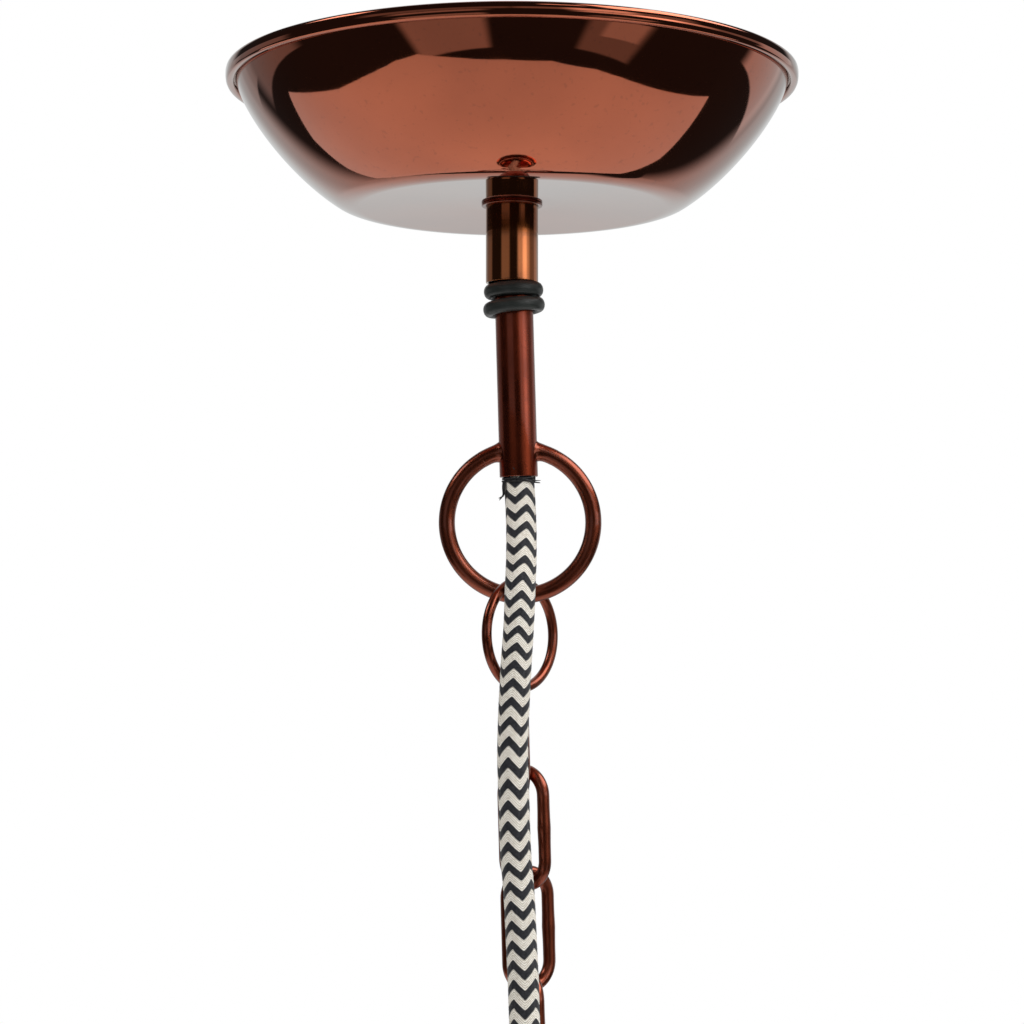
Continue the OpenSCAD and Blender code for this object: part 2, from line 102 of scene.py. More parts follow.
BAIL_R = 5.2
BAIL_WIRE_R = 1.25
BAIL_PLAY = 0.1
COLLAR_TOP = -19
COLLAR_H = 4
COLLAR_R = 6.5
HOLDER_R = 19
HOLDER_WALL = 1.2
CAP_H = 14
CAP_CORNER = 6
HOLDER_LEN = 44
SKIRT_R = 17
SKIRT_LEN = 22
SHELL_R = 13.3
SHELL_LEN = 26
INSERT_T = 12
GRIP = (-1, -9.6)
RING_NUT_GAP = 6
RING_NUT_H = 7
RING_NUT_R = 22
RING_NUT_RIBS = 24

# Where the hanging line starts and how far it leans
PIVOT_X = JOINTS["hook_swing"]["pos_m"][0] / MM
PIVOT_Z = JOINTS["hook_swing"]["pos_m"][2] / MM
LEAN = math.asin(JOINTS["canopy_slide"]["axis"][0])
HANG = (
    Matrix.Translation((PIVOT_X, 0, PIVOT_Z))
    @ Matrix.Rotation(-LEAN, 4, "Y")
    @ Matrix.Translation((0, 0, -PIVOT_Z))
)
LEVEL = Matrix.Identity(4)


def hanging_point(joint):
    """A joint's place in the hanging line's own frame, in millimetres."""
    return HANG.inverted() @ (Vector(JOINTS[joint]["pos_m"]) / MM)


CHAIN_X = hanging_point("small_ring_swing").x
HOLDER_AXIS = HANG @ Matrix.Translation((CHAIN_X, 0, 0))
SMALL_RING_Z = hanging_point("link_1_swing").z + SMALL_RING_R
LINK_Z = [hanging_point(f"link_{i}_swing").z + LINK_HALF for i in (2, 3, 4)]
LINK_Z.append(hanging_point("lampholder_swing").z + LINK_HALF)
EYE_Z = hanging_point("lampholder_swing").z + 2 * LINK_WIRE_R + EYE_GAP - EYE_R
CAP_TOP = EYE_Z - EYE_R - EYE_NECK
BODY_TOP = CAP_TOP - CAP_H
BODY_END = BODY_TOP - HOLDER_LEN
BAIL_TOP = PIVOT_Z + HOOK_WIRE_R + BAIL_WIRE_R + BAIL_PLAY

# The flex's route in the hanging line's own frame, cut where one hanging piece hands it to the next
FLEX_ROUTE = [
    (0, 0, -21), (0, 0, -36), (0, 0, -52), (0, 0, -68), (0, 0, -80), (0, 0, -84),
    (0.1, -0.3, -88), (0.2, -1.1, -92), (0.2, -2.3, -96), (0.1, -3.7, -100), (-0.1, -5.2, -104),
    (-0.4, -6.7, -108), (-0.7, -7.9, -113), (-1.1, -8.7, -118), (-1.6, -9.2, -123),
    (-2, -9.5, -128), (-2.4, -9.7, -133), (-2.7, -9.8, -138), (-2.9, -9.8, -143),
    (-2.9, -9.7, -148), (-2.9, -9.6, -153), (-2.9, -9.5, -158), (-2.8, -9.3, -163),
    (-2.5, -9.2, -168), (-2.3, -9.2, -173), (-2.2, -9.2, -179), (-2.1, -9.2, -184),
    (-2, -9.2, -189), (-2, -9.2, -194), (-1.9, -9.3, -200), (-1.5, -9.45, -206),
    (-1.1, -9.58, -211.5), (-1, -9.6, -215), (-1, -9.6, -223), (-1, -9.6, -231.3),
]

# The cores, from the top of the stem to the terminal block and the earth screw
CORE_ROUTES = {
    "core_brown": [
        (0.9, -1.2, -20.5), (1.2, -1.7, -18.5), (2.2, -4.2, -16.4), (5, -7.4, -15.6), (9, -9.8, -14.6),
        (13, -11.4, -12.6), (16, -11.6, -10.4), (18, -9.8, -9.6), (18, -7.6, -9.6),
    ],
    "core_blue": [
        (0.9, 1.2, -20.5), (1.2, 1.7, -18.5), (2.4, 4.2, -16.4), (6, 7.6, -15.8), (12, 10.6, -15),
        (20, 13, -13.4), (27, 13.4, -11.4), (31, 12.6, -10), (34.5, 11, -9.6), (36, 9.4, -9.6),
        (36, 7.6, -9.6),
    ],
    "core_earth": [
        (-1.9, 0, -20.5), (-2, 1, -18.5), (-2.6, 4, -16.4), (-6, 7, -15), (-11, 9, -12), (-16, 9.4, -8.6),
        (-20, 7.6, -5), (-21.6, 5.4, -3.5), (-22, 3.1, -3.2),
    ],
}
CORE_COLOURS = {"core_brown": "core_brown", "core_blue": "core_blue", "core_earth": "core_green_yellow"}


# ---- shader helpers ----

class ShaderNodes:
    """Short ways to add and link nodes in a shader tree."""

    def __init__(self, tree):
        self.tree = tree

    def connect(self, socket, value):
        """Links a socket to another node's output, or sets it to a number, a vector or a colour."""
        if isinstance(value, bpy.types.NodeSocket):
            self.tree.links.new(value, socket)
        elif isinstance(value, tuple) and socket.type == "RGBA":
            socket.default_value = (*value, 1)
        else:
            socket.default_value = value

    def node(self, kind, inputs=(), **settings):
        made = self.tree.nodes.new("ShaderNode" + kind)
        for key, value in settings.items():
            setattr(made, key, value)
        for key, value in dict(inputs).items():
            self.connect(made.inputs[key], value)
        return made

    def math(self, operation, a, b=0.0, c=0.0):
        return self.node("Math", {0: a, 1: b, 2: c}, operation=operation).outputs[0]

    def noise(self, scale, detail=3, stretch=None):
        coords = self.node("TexCoord").outputs["Object"]
        if stretch:
            coords = self.node("Mapping", {"Vector": coords, "Scale": stretch}).outputs[0]
        return self.node("TexNoise", {"Vector": coords, "Scale": scale, "Detail": detail}).outputs["Fac"]

    def ramp(self, fac, stops):
        """A colour ramp. Each stop is a place with a colour or a grey."""
        made = self.node("ValToRGB", {"Fac": fac})
        elements = made.color_ramp.elements
        while len(elements) < len(stops):
            elements.new(0.5)
        for element, (place, colour) in zip(elements, stops):
            element.position = place
            element.color = (*colour, 1) if isinstance(colour, tuple) else (colour, colour, colour, 1)
        return made.outputs["Color"]

    def mix(self, fac, a, b):
        made = self.node("Mix", data_type="RGBA")
        for index, value in ((0, fac), (6, a), (7, b)):
            self.connect(made.inputs[index], value)
        return made.outputs[2]


class MaterialNodes(ShaderNodes):
    """A new material, with its Principled shader at hand."""

    def __init__(self, name="material"):
        self.material = bpy.data.materials.new(name)
        self.material.use_nodes = True
        super().__init__(self.material.node_tree)
        self.bsdf = self.tree.nodes["Principled BSDF"]

    def set(self, **values):
        for key, value in values.items():
            self.connect(self.bsdf.inputs[key.replace("_", " ")], value)

    def bump(self, height, strength, distance):
        made = self.node("Bump", {"Height": height, "Strength": strength, "Distance": distance})
        self.connect(self.bsdf.inputs["Normal"], made.outputs[0])


# ---- camera and studio ----

def make_camera():
    """Looks up a little at the canopy from half a metre away, as the photograph does."""
    lens, pitch, distance, below = 83.6, math.radians(3), 0.496, 0.1181
    cam = bpy.data.objects.new("camera", bpy.data.cameras.new("camera"))
    cam.data.lens = lens
    cam.data.sensor_width = 36
    cam.data.clip_start = 0.02
    cam.data.clip_end = 60
    cam.location = (0, -distance, -below)
    cam.rotation_euler = (math.pi / 2 + pitch, 0, 0)
    bpy.context.scene.collection.objects.link(cam)
    bpy.context.scene.camera = cam


def area_light(name, place, target, size, power):
    lamp = bpy.data.lights.new(name, "AREA")
    lamp.shape = "RECTANGLE"
    lamp.size, lamp.size_y = size
    lamp.energy = power
    obj = bpy.data.objects.new(name, lamp)
    obj.location = place
    obj.rotation_euler = (Vector(target) - Vector(place)).to_track_quat("-Z", "Y").to_euler()
    # the copper reflects the room's own bright things, not these
    obj.visible_glossy = False
    bpy.context.scene.collection.objects.link(obj)


# What stands round the object in the studio, as it is reflected: azimuth from the camera's side towards +X
# and elevation, in degrees, then how soft the edges are and how bright it is
STUDIO_PATCHES = [
    # azimuths, elevations, softness, brightness
    ((160, 203), (-52, 90), 12, 0.66),
    ((203, 217), (-50, 90), 12, 0.48),
    ((143, 160), (-44, 90), 12, 0.52),
    ((113, 143), (-15, 9.6), 7, 0.58),
    ((217, 226), (-7, 9.6), 7, 0.30),
    ((226, 262), (-14, 9.6), 9, 0.22),
    ((82, 113), (1, 9.6), 7, 0.26),
    ((26, 82), (1, 9.6), 14, 1.0),
    ((48, 68), (1, 9.6), 12, 1.4),
    ((313, 349), (0, 9.6), 10, 0.34),
    ((313, 349), (-46, -16), 5, 0.33),
    ((32, 60), (-44, -16), 5, 0.18),
    ((40, 58), (-34, -16), 4, 0.24),
    ((40, 110), (26, 62), 12, 3.4),
    ((0, 75), (11, 19), 10, 0.25),
    ((22, 48), (11, 19), 10, 1.0),
    ((300, 360), (11, 19), 10, 0.18),
    ((262, 290), (34, 50), 8, 3.2),
    ((12, 30), (30, 40), 6, 1.6),
]
# No edge is softer than this up and down
HIGHEST_SOFTNESS = 1
ROOM_DARK = 0.022


def make_world():
    """White where the camera sees it. It lights and reflects as a dark room with bright things in it."""
    world = bpy.data.worlds.new("studio")
    bpy.context.scene.world = world
    world.use_nodes = True
    world.node_tree.nodes.clear()
    m = ShaderNodes(world.node_tree)

    def step_up(value, edge, soft):
        ends = {"Value": value, "From Min": edge - soft / 2, "From Max": edge + soft / 2}
        return m.node("MapRange", ends, interpolation_type="SMOOTHSTEP").outputs[0]

    def between(value, low, high, soft):
        falling = m.math("SUBTRACT", 1.0, step_up(value, high, soft))
        return m.math("MULTIPLY", step_up(value, low, soft), falling)

    split = m.node("SeparateXYZ", {0: m.node("TexCoord").outputs["Generated"]})
    toward_camera = m.math("MULTIPLY", split.outputs["Y"], -1.0)
    turn = m.math("ARCTAN2", split.outputs["X"], toward_camera)
    # a whole turn is added and taken off again, so that the angle runs from 0 to 360
    azimuth = m.math("MODULO", m.math("ADD", m.math("MULTIPLY", turn, 360 / TURN), 360.0), 360.0)
    elevation = m.math("MULTIPLY", m.math("ARCSINE", split.outputs["Z"]), 360 / TURN)
    light = ROOM_DARK
    for (left, right), (low, high), soft, bright in STUDIO_PATCHES:
        across = between(azimuth, left, right, soft)
        upward = between(elevation, low, high, min(soft, HIGHEST_SOFTNESS))
        light = m.math("ADD", light, m.math("MULTIPLY", m.math("MULTIPLY", across, upward), bright))
    felt = m.node("Background", {"Color": (1, 1, 1), "Strength": light}).outputs[0]
    seen = m.node("Background", {"Color": (1, 1, 1)}).outputs[0]
    by_camera = m.node("LightPath").outputs["Is Camera Ray"]
    mix = m.node("MixShader", {0: by_camera, 1: felt, 2: seen})
    m.node("OutputWorld", {"Surface": mix.outputs[0]})


# The pale sheet of floor below the object, with a rounded front
FLOOR_Z = -1.0
FLOOR_OUTLINE = [
    (-2.28, 1.31), (-1.34, 0.11), (-0.95, -0.60), (-0.80, -0.76), (-0.45, -0.80), (-0.05, -0.82),
    (0.3, -0.78), (0.62, -0.60), (0.8, -0.42), (1.62, 0.56), (0.85, 0.62), (0.35, 0.5), (-0.1, 0.5),
    (-0.5, 0.72), (-1.0, 1.08), (-1.5, 1.33),
]


def make_floor():
    mesh = bpy.data.meshes.new("floor")
    corners = [(x, y, FLOOR_Z) for x, y in FLOOR_OUTLINE]
    mesh.from_pydata(corners, [], [list(range(len(corners)))])
    obj = bpy.data.objects.new("floor", mesh)
    bpy.context.scene.collection.objects.link(obj)
    m = MaterialNodes("floor_paper")
    # painted light: the paper glows more at the back, as if lit from behind the lantern, and dims towards
    # the camera
    depth = m.node("SeparateXYZ", {"Vector": m.node("TexCoord").outputs["Object"]}).outputs["Y"]
    depth = m.math("MULTIPLY_ADD", depth, 0.5, 0.5)
    painted_backlight_glow = m.ramp(depth, [(0.1, 0.18), (0.35, 0.25), (0.55, 0.38), (1.0, 0.42)])
    m.set(Base_Color=(0.5, 0.49, 0.48), Roughness=0.9)
    m.set(Emission_Color=(1, 0.99, 0.97), Emission_Strength=painted_backlight_glow)
    mesh.materials.append(m.material)


# ---- materials ----

# Lacquered copper pales at a glancing angle
EDGE_TINT = (0.78, 0.98, 1.0)


def plated_copper(dark, light, rough, coat, line_scale=0.0, speckle=0.22):
    """Antique-copper plate under clear lacquer: slow tone changes, drawn or spun lines, handling marks."""
    m = MaterialNodes()
    tone = m.ramp(m.noise(38, 4), [(0.32, dark), (0.68, light)])
    specks = m.ramp(m.noise(900, 2), [(0.62, 0.0), (0.72, speckle)])
    tone = m.mix(specks, tone, tuple(c * 0.35 for c in dark))
    m.set(Base_Color=tone, Metallic=1.0, Coat_Weight=coat, Coat_Roughness=0.04, Coat_IOR=1.5)
    m.set(Specular_Tint=EDGE_TINT)
    m.set(Roughness=m.ramp(m.noise(140, 5), [(0.3, rough * 0.8), (0.7, rough * 1.35)]))
    if line_scale:
        m.bump(m.noise(30, 2, stretch=(1, 1, line_scale)), 0.03, 0.0001)
    else:
        m.bump(m.noise(220, 2), 0.002, 0.0002)
    return m.material


def copper_dish():
    return plated_copper((0.41, 0.088, 0.030), (0.50, 0.112, 0.040), 0.04, coat=1.0, line_scale=26)


def copper_sleeve():
    return plated_copper((0.40, 0.115, 0.032), (0.48, 0.15, 0.045), 0.09, coat=0.5, line_scale=40)


def copper_tube():
    return plated_copper((0.28, 0.046, 0.018), (0.40, 0.07, 0.029), 0.28, coat=0.35, line_scale=40)


def copper_wire():
    return plated_copper((0.25, 0.052, 0.024), (0.31, 0.072, 0.034), 0.30, coat=0.45, speckle=0.0)


def weld_metal():
    return plated_copper((0.25, 0.052, 0.024), (0.31, 0.072, 0.034), 0.28, coat=0.5, speckle=0.05)


def rubber():
    m = MaterialNodes()
    grain = m.noise(700, 4)
    m.set(Base_Color=m.ramp(m.noise(120, 3), [(0.3, (0.012, 0.014, 0.013)), (0.7, (0.026, 0.030, 0.028))]))
    m.set(Roughness=m.ramp(grain, [(0.3, 0.30), (0.7, 0.46)]), Specular_IOR_Level=0.5)
    m.bump(grain, 0.15, 0.0002)
    return m.material


def braid():
    """Black and cream herringbone braid. The zigzag comes from the piece's own UVs: v counts its bands."""
    m = MaterialNodes()
    uv = m.node("UVMap", uv_map="braid")
    split = m.node("SeparateXYZ", {0: uv.outputs[0]})
    wobble = m.math("MULTIPLY", m.math("SUBTRACT", m.noise(600, 2), 0.5), 0.10)
    phase = m.math("FRACT", m.math("ADD", split.outputs["Y"], wobble))
    dark = m.ramp(phase, [(0.0, 1.0), (0.44, 1.0), (0.48, 0.0), (0.96, 0.0), (1.0, 1.0)])
    threads = m.math("FRACT", m.math("MULTIPLY", split.outputs["Y"], BRAID_THREADS))
    # painted shade: the cream darkens to brown in the gaps between neighbouring threads
    thread_gap_shade = m.ramp(threads, [(0.0, 0.0), (0.2, 1.0), (0.8, 1.0), (1.0, 0.0)])
    fibre = m.noise(2600, 3)
    cream = [(0.3, (0.70, 0.64, 0.54)), (0.5, (0.88, 0.84, 0.75)), (0.7, (0.96, 0.93, 0.86))]
    cream = m.mix(thread_gap_shade, (0.30, 0.25, 0.19), m.ramp(fibre, cream))
    black = m.ramp(fibre, [(0.3, (0.006, 0.007, 0.010)), (0.7, (0.028, 0.028, 0.034))])
    m.set(Base_Color=m.mix(dark, cream, black), Roughness=0.78, Sheen_Weight=0.25, Sheen_Roughness=0.5)
    m.bump(fibre, 0.35, 0.0003)
    return m.material


def black_thread():
    m = MaterialNodes()
    fibre = m.noise(1800, 3)
    colour = m.ramp(fibre, [(0.3, (0.006, 0.006, 0.007)), (0.7, (0.03, 0.03, 0.032))])
    m.set(Base_Color=colour, Roughness=0.6)
    m.bump(fibre, 0.4, 0.0002)
    return m.material


def plain_metal(colour_low, colour_high, rough):
    m = MaterialNodes()
    grain = m.noise(260, 5)
    m.set(Base_Color=m.ramp(grain, [(0.3, colour_low), (0.7, colour_high)]), Metallic=1.0)
    m.set(Roughness=m.ramp(m.noise(90, 4), [(0.3, rough * 0.8), (0.7, rough * 1.3)]))
    m.bump(m.noise(900, 2), 0.06, 0.0002)
    return m.material


def zinc_steel():
    return plain_metal((0.50, 0.51, 0.53), (0.66, 0.67, 0.68), 0.28)


def brass():
    return plain_metal((0.56, 0.38, 0.14), (0.72, 0.52, 0.22), 0.24)


def moulded(colour_low, colour_high, rough, coat=0.0):
    m = MaterialNodes()
    grain = m.noise(1200, 3)
    m.set(Base_Color=m.ramp(m.noise(70, 3), [(0.3, colour_low), (0.7, colour_high)]))
    m.set(Roughness=m.ramp(grain, [(0.3, rough * 0.85), (0.7, rough * 1.2)]), Coat_Weight=coat)
    m.bump(grain, 0.08, 0.0002)
    return m.material


def block_plastic():
    return moulded((0.74, 0.71, 0.62), (0.82, 0.80, 0.72), 0.45)


def porcelain():
    return moulded((0.80, 0.78, 0.73), (0.87, 0.86, 0.82), 0.25, coat=0.8)


def black_plastic():
    return moulded((0.012, 0.012, 0.013), (0.026, 0.026, 0.028), 0.42)


def core_brown():
    return moulded((0.12, 0.045, 0.02), (0.17, 0.065, 0.03), 0.34)


def core_blue():
    return moulded((0.02, 0.09, 0.36), (0.03, 0.13, 0.46), 0.34)


def core_green_yellow():
    """Green insulation with a yellow stripe along it."""
    m = MaterialNodes()
    split = m.node("SeparateXYZ", {0: m.node("TexCoord").outputs["Object"]})
    stripe = m.math("GREATER_THAN", m.math("SINE", m.math("MULTIPLY", split.outputs["Z"], 1400.0)), 0.2)
    m.set(Base_Color=m.mix(stripe, (0.05, 0.30, 0.06), (0.72, 0.62, 0.05)), Roughness=0.35)
    m.bump(m.noise(1200, 3), 0.08, 0.0002)
    return m.material


MATERIAL_MAKERS = {
    maker.__name__: maker
    for maker in (
        copper_dish, copper_sleeve, copper_tube, copper_wire, weld_metal, rubber, braid, black_thread,
        zinc_steel, brass, block_plastic, porcelain, black_plastic, core_brown, core_blue,
        core_green_yellow,
    )
}
MATERIALS = {}


def material(name):
    """Makes each material once, when it is first asked for."""
    if name not in MATERIALS:
        MATERIALS[name] = MATERIAL_MAKERS[name]()
        MATERIALS[name].name = name
    return MATERIALS[name]


# ---- mesh helpers: all sizes in millimetres ----

def to_object(name, part, mat, body, node, place=HANG, sharp=40, uvs=None):
    """Makes a smooth mesh object of a (verts, faces) pair, which is in the place's own frame.
    It rides on the body and stands for the CAD node."""
    verts, faces = part
    mesh = bpy.data.meshes.new(name)
    mesh.from_pydata([(place @ Vector(v)) * MM for v in verts], [], faces)
    if uvs:
        layer = mesh.uv_layers.new(name="braid")
        layer.data.foreach_set("uv", [c for face in uvs for corner in face for c in corner])
    mesh.validate()
    mesh.shade_smooth()
    mesh.set_sharp_from_angle(angle=math.radians(sharp))
    mesh.materials.append(material(mat))
    obj = bpy.data.objects.new(name, mesh)
    bpy.context.scene.collection.objects.link(obj)
    fix_normals(mesh)
    if body:
        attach(obj, body)
    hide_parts(node)
    return obj


def fix_normals(mesh):
    bm = bmesh.new()
    bm.from_mesh(mesh)
    bmesh.ops.recalc_face_normals(bm, faces=bm.faces)
    bm.to_mesh(mesh)
    bm.free()


def turned_corner(start, corner, end, steps):
    """Points of a curve that leaves start towards the corner and arrives at end from it."""
    out = []
    for i in range(steps + 1):
        t = i / steps
        out.append((1 - t) ** 2 * start + 2 * t * (1 - t) * corner + t * t * end)
    return out


def fillet(profile, radius, steps=4):
    """Rounds each corner of an open profile of (r, z) points by cutting it back along both sides."""
    most = 0.45
    out = [Vector(profile[0])]
    for a, b, c in zip(profile, profile[1:], profile[2:]):
        a, b, c = Vector(a), Vector(b), Vector(c)
        cut = min(radius, (a - b).length * most, (c - b).length * most)
        start = b + (a - b).normalized() * cut
        end = b + (c - b).normalized() * cut
        out += turned_corner(start, b, end, steps)
    out.append(Vector(profile[-1]))
    return out


def fillet_end(curve, beyond, cut, steps=12):
    """Rounds the corner at a curve's end, where a straight to a point beyond begins."""
    corner = Vector(curve[-1])
    left = cut
    while (Vector(curve[-1]) - Vector(curve[-2])).length < left:
        left -= (Vector(curve[-1]) - Vector(curve[-2])).length
        curve = curve[:-1]
    end = corner + (Vector(beyond) - corner).normalized() * cut
    return curve[:-1] + turned_corner(Vector(curve[-1]), corner, end, steps)


def skin(rings, sides, closed):
    """Quads between neighbouring rings of points. A run that isn't closed gets a cap on each end."""
    faces = []
    for i in range(rings if closed else rings - 1):
        j = (i + 1) % rings
        for k in range(sides):
            q = (k + 1) % sides
            faces.append((i * sides + k, i * sides + q, j * sides + q, j * sides + k))
    if not closed:
        faces.append(tuple(range(sides - 1, -1, -1)))
        faces.append(tuple((rings - 1) * sides + k for k in range(sides)))
    return faces


def lathe(profile, sides, wave=None):
    """Spins a closed profile of (r, z) points about the axis.
    wave(r, z, angle) adds to the radius, for threads and ribs."""
    verts = []
    for r, z in profile:
        for k in range(sides):
            a = TURN * k / sides
            reach = r + (wave(r, z, a) if wave else 0)
            verts.append((reach * math.cos(a), reach * math.sin(a), z))
    return verts, skin(len(profile), sides, True)


def sweep(path, radius, sides, closed=False, normal=Vector((0, 1, 0))):
    """A round tube along a path; radius is a number or a function of (share along, angle)."""
    verts = []
    n = len(path)
    side = normal
    for i, p in enumerate(path):
        before = path[(i - 1) % n] if closed else path[max(i - 1, 0)]
        after = path[(i + 1) % n] if closed else path[min(i + 1, n - 1)]
        tangent = (Vector(after) - Vector(before)).normalized()
        side = (side - tangent * side.dot(tangent)).normalized()
        other = tangent.cross(side)
        for k in range(sides):
            a = TURN * k / sides
            r = radius(i / n, a) if callable(radius) else radius
            verts.append(Vector(p) + side * (r * math.cos(a)) + other * (r * math.sin(a)))
    return verts, skin(n, sides, closed)


def arc(r, start, end, steps, centre=(0, 0, 0)):
    """Points of an arc in the XZ plane, in degrees from +X towards +Z."""
    out = []
    for i in range(steps + 1):
        a = math.radians(start + (end - start) * i / steps)
        out.append(Vector(centre) + Vector((r * math.cos(a), 0, r * math.sin(a))))
    return out


def smooth_path(points, step):
    """A Catmull-Rom curve through points, sampled about every step."""
    pts = [Vector(p) for p in points]
    pts = [2 * pts[0] - pts[1]] + pts + [2 * pts[-1] - pts[-2]]
    out = []
    for a, b, c, d in zip(pts, pts[1:], pts[2:], pts[3:]):
        count = max(1, round((c - b).length / step))
        square = 2 * a - 5 * b + 4 * c - d
        cube = 3 * b - a - 3 * c + d
        for i in range(count):
            t = i / count
            out.append(0.5 * (2 * b + (c - a) * t + square * t**2 + cube * t**3))
    out.append(pts[-2])
    return out


def moved(part, matrix):
    """A (verts, faces) pair, placed by a matrix."""
    verts, faces = part
    return [matrix @ Vector(v) for v in verts], faces


def turned(degrees):
    """A turn about the vertical."""
    return Matrix.Rotation(math.radians(degrees), 4, "Z")


def upright(r, low, high, step):
    """Points up a straight wall, close enough together to carry a thread."""
    count = round((high - low) / step)
    return [(r, low + (high - low) * i / count) for i in range(count + 1)]


def joined(parts):
    """Joins several (verts, faces) pairs into one."""
    verts, faces = [], []
    for v, f in parts:
        base = len(verts)
        verts += [Vector(p) for p in v]
        faces += [tuple(base + i for i in face) for face in f]
    return verts, faces


# ---- canopy ----

def bowl_side(r_top, r_flat, z_top, z_flat, steps=64):
    """The bowl's side, from the step under the lip down to the corner of the flat."""
    out = []
    end_cos = math.cos(BOWL_END) ** BOWL_FULLNESS
    for i in range(steps + 1):
        a = BOWL_END * i / steps
        across = (math.cos(a) ** BOWL_FULLNESS - end_cos) / (1 - end_cos)
        down = (math.sin(a) / math.sin(BOWL_END)) ** BOWL_FULLNESS
        out.append((r_flat + (r_top - r_flat) * across, z_top - (z_top - z_flat) * down))
    return out


def make_canopy():
    lip = [
        (CANOPY_R - 1.6, -0.02), (CANOPY_R - 0.5, -0.05), (CANOPY_R - 0.12, -0.3), (CANOPY_R, -0.8),
        (CANOPY_R, -1.7), (CANOPY_R - 0.08, -2.3), (CANOPY_R - 0.28, -2.75), (CANOPY_R - 0.55, -2.94),
        (CANOPY_R - 1.4, -2.96), (CANOPY_R - 1.62, -2.82), (CANOPY_R - 1.72, -2.3), (CANOPY_R - 1.85, -1.7),
    ]
    top_r, wall, bore = CANOPY_R - LIP_STEP, CANOPY_WALL, SLEEVE_R + SLEEVE_PLAY
    outside = bowl_side(top_r, FLAT_R, LIP_GROOVE_Z, -CANOPY_DEPTH)
    # a rolled corner where the side meets the flat
    outside = fillet_end(outside, (FLAT_MID_R, FLAT_MID_Z), FLAT_CORNER)
    middle = [(FLAT_MID_R, FLAT_MID_Z), (bore, FLAT_MID_Z), (bore, FLAT_MID_Z + wall)]
    middle.append((FLAT_MID_R, FLAT_MID_Z + wall))
    inside = bowl_side(top_r - wall, FLAT_R - wall / 2, LIP_GROOVE_Z + 0.2, -CANOPY_DEPTH + wall)[::-1]
    dish = lathe(lip + outside + middle + inside + [(top_r - wall, -0.6)], 256)
    to_object("canopy_spun_dish", dish, "copper_dish", "canopy", "canopy_dish", LEVEL, sharp=50)


def make_sleeve():
    top = FLAT_MID_Z + CANOPY_WALL + NUT_T
    bottom = FLAT_MID_Z - SLEEVE_LEN
    sleeve = [(SLEEVE_BORE_R, bottom + 0.3), (SLEEVE_BORE_R, bottom), (SLEEVE_R, bottom), (SLEEVE_R, top)]
    sleeve = lathe(fillet(sleeve + [(SLEEVE_BORE_R, top)], 0.18), 96)
    to_object("sleeve_turned", sleeve, "copper_sleeve", "canopy", "canopy_sleeve", LEVEL)
    bore, top, bottom = SLEEVE_R + SLEEVE_PLAY, FLAT_MID_Z, FLAT_MID_Z - WASHER_T
    washer = [(bore, (top + bottom) / 2), (bore, bottom), (WASHER_R, bottom), (WASHER_R, top), (bore, top)]
    washer = lathe(fillet(washer, 0.2), 96)
    to_object("washer_ring", washer, "copper_wire", "canopy", "sleeve_washer", LEVEL)


# ---- stem, big ring, welds and whipping ----

def make_stem():
    tube = [(STEM_BORE_R, STEM_END + 2), (STEM_BORE_R, STEM_END), (STEM_R, STEM_END), (STEM_R, STEM_TOP)]
    tube = lathe(fillet(tube + [(STEM_BORE_R, STEM_TOP)], 0.15), 96)
    to_object("stem_drawn_tube", tube, "copper_tube", "stem", "stem_tube")


def make_o_rings():
    half_w, half_h, plump, sides = 1.125, 1.35, 1.1, 32
    top = FLAT_MID_Z - SLEEVE_LEN
    for which, z, bore, tilt in (
        ("upper", top - half_h - 0.3, STEM_R, 1.2),
        ("lower", top - 3 * half_h - 1.05, STEM_R + 0.25, 5),
    ):
        profile = []
        for k in range(sides):
            a = TURN * k / sides
            profile.append((bore + half_w + half_w * math.cos(a), half_h * plump * math.sin(a)))
        verts, faces = lathe(profile, 96)
        # a slightly uneven squeeze
        verts = [v * (1 + 0.006 * math.sin(3 * math.atan2(v.y, v.x))) for v in map(Vector, verts)]
        place = HANG @ Matrix.Translation((0, 0, z)) @ Matrix.Rotation(-math.radians(tilt), 4, "Y")
        ring = (verts, faces)
        to_object(which + "_rubber_ring", ring, "rubber", "o_rings", which + "_o_ring", place)


def make_big_ring():
    half_gap = math.degrees(math.asin((STEM_R - 0.5) / BIG_RING_R))
    path = arc(BIG_RING_R, 90 + half_gap, 450 - half_gap, 160, (0, 0, BIG_RING_Z))
    to_object("big_ring_bent_rod", sweep(path, BIG_WIRE_R, 40), "copper_wire", "stem", "big_ring")


def weld_fillet(side):
    """The rod's end flares where it is run into the tube's side, most of all upwards."""
    near = math.degrees(math.asin((STEM_R - 1.2) / BIG_RING_R))
    flare = 19
    path = arc(BIG_RING_R, 90 - side * near, 90 - side * (near + flare), 40, (0, 0, BIG_RING_Z))

    def radius(t, a):
        near_tube = (1 - t) ** 5
        upward = 0.5 - 0.5 * side * math.sin(a)
        lump = 0.3 * noise.noise(Vector((t * 6, math.cos(a) * 1.7, math.sin(a) * 1.7 + side * 4)))
        return BIG_WIRE_R + 0.03 + near_tube * (0.3 + 2.9 * upward**3 + 0.5 * (1 - upward) ** 2 + lump)

    return sweep(path, radius, 40)


def make_welds():
    fillets = joined([weld_fillet(-1), weld_fillet(1)])
    to_object("weld_fillets", fillets, "weld_metal", "stem", "ring_welds", sharp=180)


